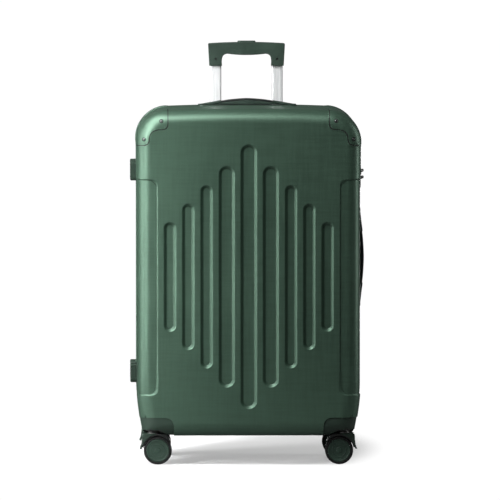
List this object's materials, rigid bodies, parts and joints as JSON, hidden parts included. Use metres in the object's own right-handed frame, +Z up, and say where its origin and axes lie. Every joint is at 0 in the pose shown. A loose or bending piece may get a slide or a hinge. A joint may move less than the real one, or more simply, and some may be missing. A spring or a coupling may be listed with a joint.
{
  "type": "hard shell suitcase",
  "caption": "Upright hard shell travel suitcase with ribbed clamshell halves, corner guards, spinner casters and a telescopic trolley handle.",
  "frame": {"origin": "on the ground, under the middle of the case", "axes": "+Z up; -Y the front with the lid; +Y the back with the trolley; -X the hinge side with the feet; +X the lock and side handle"},
  "size_m": [0.505, 0.29, 0.8997],
  "materials": {
    "shell": "satin dark forest green with a fine brushed texture",
    "moulded_green": "matte moulded plastic, darker green",
    "wheel_hub": "satin green hub disc",
    "tyre": "black polyurethane",
    "zip_tape": "black woven tape",
    "lining": "dark woven polyester",
    "tube": "anodised silver",
    "lock_case": "black moulded plastic",
    "bright_metal": "nickel plated zinc"
  },
  "bodies": {
    "case": {"rear_shell": "shell", "rear_lining": "lining", "rear_zipper_tape": "zip_tape", "rear_guard_left": "shell", "rear_guard_right": "shell", "rear_wheel_housing_left": "moulded_green", "rear_wheel_housing_right": "moulded_green", "rear_foot_lower": "moulded_green", "rear_foot_upper": "moulded_green", "trolley_cup": "moulded_green", "trolley_outer_frame": "tube", "top_handle_base": "moulded_green", "side_handle_base": "moulded_green", "lock_body": "lock_case"},
    "lid": {"front_shell": "shell", "front_lining": "lining", "front_zipper_tape": "zip_tape", "divider_panel": "lining", "front_guard_left": "shell", "front_guard_right": "shell", "front_wheel_housing_left": "moulded_green", "front_wheel_housing_right": "moulded_green", "front_foot_lower": "moulded_green", "front_foot_upper": "moulded_green"},
    "trolley_middle": {"trolley_middle_tube_left": "tube", "trolley_middle_tube_right": "tube"},
    "trolley_inner": {"trolley_inner_tube_left": "tube", "trolley_inner_tube_right": "tube", "trolley_grip": "moulded_green"},
    "grip_button": {"grip_button": "moulded_green"},
    "top_handle": {"top_handle_strap": "moulded_green"},
    "side_handle": {"side_handle_strap": "moulded_green"},
    "lock_release": {"lock_release": "bright_metal"},
    "lock_dial_1": {"lock_dial_1": "bright_metal"},
    "lock_dial_2": {"lock_dial_2": "bright_metal"},
    "lock_dial_3": {"lock_dial_3": "bright_metal"},
    "zip_slider_upper": {"zip_slider_upper": "bright_metal"},
    "zip_pull_upper": {"zip_pull_upper": "bright_metal"},
    "zip_slider_lower": {"zip_slider_lower": "bright_metal"},
    "zip_pull_lower": {"zip_pull_lower": "bright_metal"},
    "caster_front_left": {"front_left_fork": "moulded_green"},
    "wheel_front_left_1": {"front_left_hub_1": "wheel_hub", "front_left_tyre_1": "tyre"},
    "wheel_front_left_2": {"front_left_hub_2": "wheel_hub", "front_left_tyre_2": "tyre"},
    "caster_front_right": {"front_right_fork": "moulded_green"},
    "wheel_front_right_1": {"front_right_hub_1": "wheel_hub", "front_right_tyre_1": "tyre"},
    "wheel_front_right_2": {"front_right_hub_2": "wheel_hub", "front_right_tyre_2": "tyre"},
    "caster_rear_left": {"rear_left_fork": "moulded_green"},
    "wheel_rear_left_1": {"rear_left_hub_1": "wheel_hub", "rear_left_tyre_1": "tyre"},
    "wheel_rear_left_2": {"rear_left_hub_2": "wheel_hub", "rear_left_tyre_2": "tyre"},
    "caster_rear_right": {"rear_right_fork": "moulded_green"},
    "wheel_rear_right_1": {"rear_right_hub_1": "wheel_hub", "rear_right_tyre_1": "tyre"},
    "wheel_rear_right_2": {"rear_right_hub_2": "wheel_hub", "rear_right_tyre_2": "tyre"}
  },
  "joints": [
    {"name": "lid_hinge", "type": "hinge", "parent": "case", "child": "lid", "pos_m": [-0.2535, 0, 0.412], "axis": [0, 0, -1], "range_deg": [0, 180]},
    {"name": "handle_middle_slide", "type": "slide", "parent": "case", "child": "trolley_middle", "axis": [0, 0, 1], "range_m": [0, 0.165]},
    {"name": "handle_inner_slide", "type": "slide", "parent": "trolley_middle", "child": "trolley_inner", "axis": [0, 0, 1], "range_m": [-0.125, 0.04]},
    {"name": "grip_button_press", "type": "slide", "parent": "trolley_inner", "child": "grip_button", "axis": [0, 0, -1], "range_m": [0, 0.003], "stiffness_N_per_m": 400, "springref_m": -0.003},
    {"name": "handle_top_lift", "type": "slide", "parent": "case", "child": "top_handle", "axis": [0, 0, 1], "range_m": [0, 0.012], "stiffness_N_per_m": 120, "springref_m": -0.004},
    {"name": "handle_side_lift", "type": "slide", "parent": "case", "child": "side_handle", "axis": [1, 0, 0], "range_m": [0, 0.012], "stiffness_N_per_m": 120, "springref_m": -0.008},
    {"name": "lock_release_press", "type": "slide", "parent": "case", "child": "lock_release", "axis": [-1, 0, 0], "range_m": [0, 0.0015], "stiffness_N_per_m": 300, "springref_m": -0.002},
    {"name": "lock_dial_1_turn", "type": "hinge", "parent": "case", "child": "lock_dial_1", "pos_m": [0.2406, 0.024, 0.624], "axis": [0, 0, 1], "continuous": true},
    {"name": "lock_dial_2_turn", "type": "hinge", "parent": "case", "child": "lock_dial_2", "pos_m": [0.2406, 0.024, 0.616], "axis": [0, 0, 1], "continuous": true},
    {"name": "lock_dial_3_turn", "type": "hinge", "parent": "case", "child": "lock_dial_3", "pos_m": [0.2406, 0.024, 0.608], "axis": [0, 0, 1], "continuous": true},
    {"name": "zip_slider_upper_run", "type": "slide", "parent": "case", "child": "zip_slider_upper", "axis": [0, 0, 1], "range_m": [0, 0.07]},
    {"name": "zip_slider_lower_run", "type": "slide", "parent": "case", "child": "zip_slider_lower", "axis": [0, 0, -1], "range_m": [0, 0.43]},
    {"name": "zip_pull_upper_swing", "type": "hinge", "parent": "zip_slider_upper", "child": "zip_pull_upper", "pos_m": [0.2452, 0, 0.6232], "axis": [0, 0, -1], "range_deg": [0, 170]},
    {"name": "zip_pull_lower_swing", "type": "hinge", "parent": "zip_slider_lower", "child": "zip_pull_lower", "pos_m": [0.2452, 0, 0.6088], "axis": [0, 0, -1], "range_deg": [0, 170]},
    {"name": "swivel_front_left", "type": "hinge", "parent": "lid", "child": "caster_front_left", "pos_m": [-0.203, -0.103, 0.06], "axis": [0, 0, 1], "continuous": true},
    {"name": "wheel_front_left_1_spin", "type": "hinge", "parent": "caster_front_left", "child": "wheel_front_left_1", "pos_m": [-0.194, -0.103, 0.03], "axis": [0, 1, 0], "continuous": true},
    {"name": "wheel_front_left_2_spin", "type": "hinge", "parent": "caster_front_left", "child": "wheel_front_left_2", "pos_m": [-0.194, -0.103, 0.03], "axis": [0, 1, 0], "continuous": true},
    {"name": "swivel_front_right", "type": "hinge", "parent": "lid", "child": "caster_front_right", "pos_m": [0.203, -0.103, 0.06], "axis": [0, 0, 1], "continuous": true},
    {"name": "wheel_front_right_1_spin", "type": "hinge", "parent": "caster_front_right", "child": "wheel_front_right_1", "pos_m": [0.194, -0.103, 0.03], "axis": [0, 1, 0], "continuous": true},
    {"name": "wheel_front_right_2_spin", "type": "hinge", "parent": "caster_front_right", "child": "wheel_front_right_2", "pos_m": [0.194, -0.103, 0.03], "axis": [0, 1, 0], "continuous": true},
    {"name": "swivel_rear_left", "type": "hinge", "parent": "case", "child": "caster_rear_left", "pos_m": [-0.203, 0.103, 0.06], "axis": [0, 0, 1], "continuous": true},
    {"name": "wheel_rear_left_1_spin", "type": "hinge", "parent": "caster_rear_left", "child": "wheel_rear_left_1", "pos_m": [-0.194, 0.103, 0.03], "axis": [0, 1, 0], "continuous": true},
    {"name": "wheel_rear_left_2_spin", "type": "hinge", "parent": "caster_rear_left", "child": "wheel_rear_left_2", "pos_m": [-0.194, 0.103, 0.03], "axis": [0, 1, 0], "continuous": true},
    {"name": "swivel_rear_right", "type": "hinge", "parent": "case", "child": "caster_rear_right", "pos_m": [0.203, 0.103, 0.06], "axis": [0, 0, 1], "continuous": true},
    {"name": "wheel_rear_right_1_spin", "type": "hinge", "parent": "caster_rear_right", "child": "wheel_rear_right_1", "pos_m": [0.194, 0.103, 0.03], "axis": [0, 1, 0], "continuous": true},
    {"name": "wheel_rear_right_2_spin", "type": "hinge", "parent": "caster_rear_right", "child": "wheel_rear_right_2", "pos_m": [0.194, 0.103, 0.03], "axis": [0, 1, 0], "continuous": true}
  ]
}
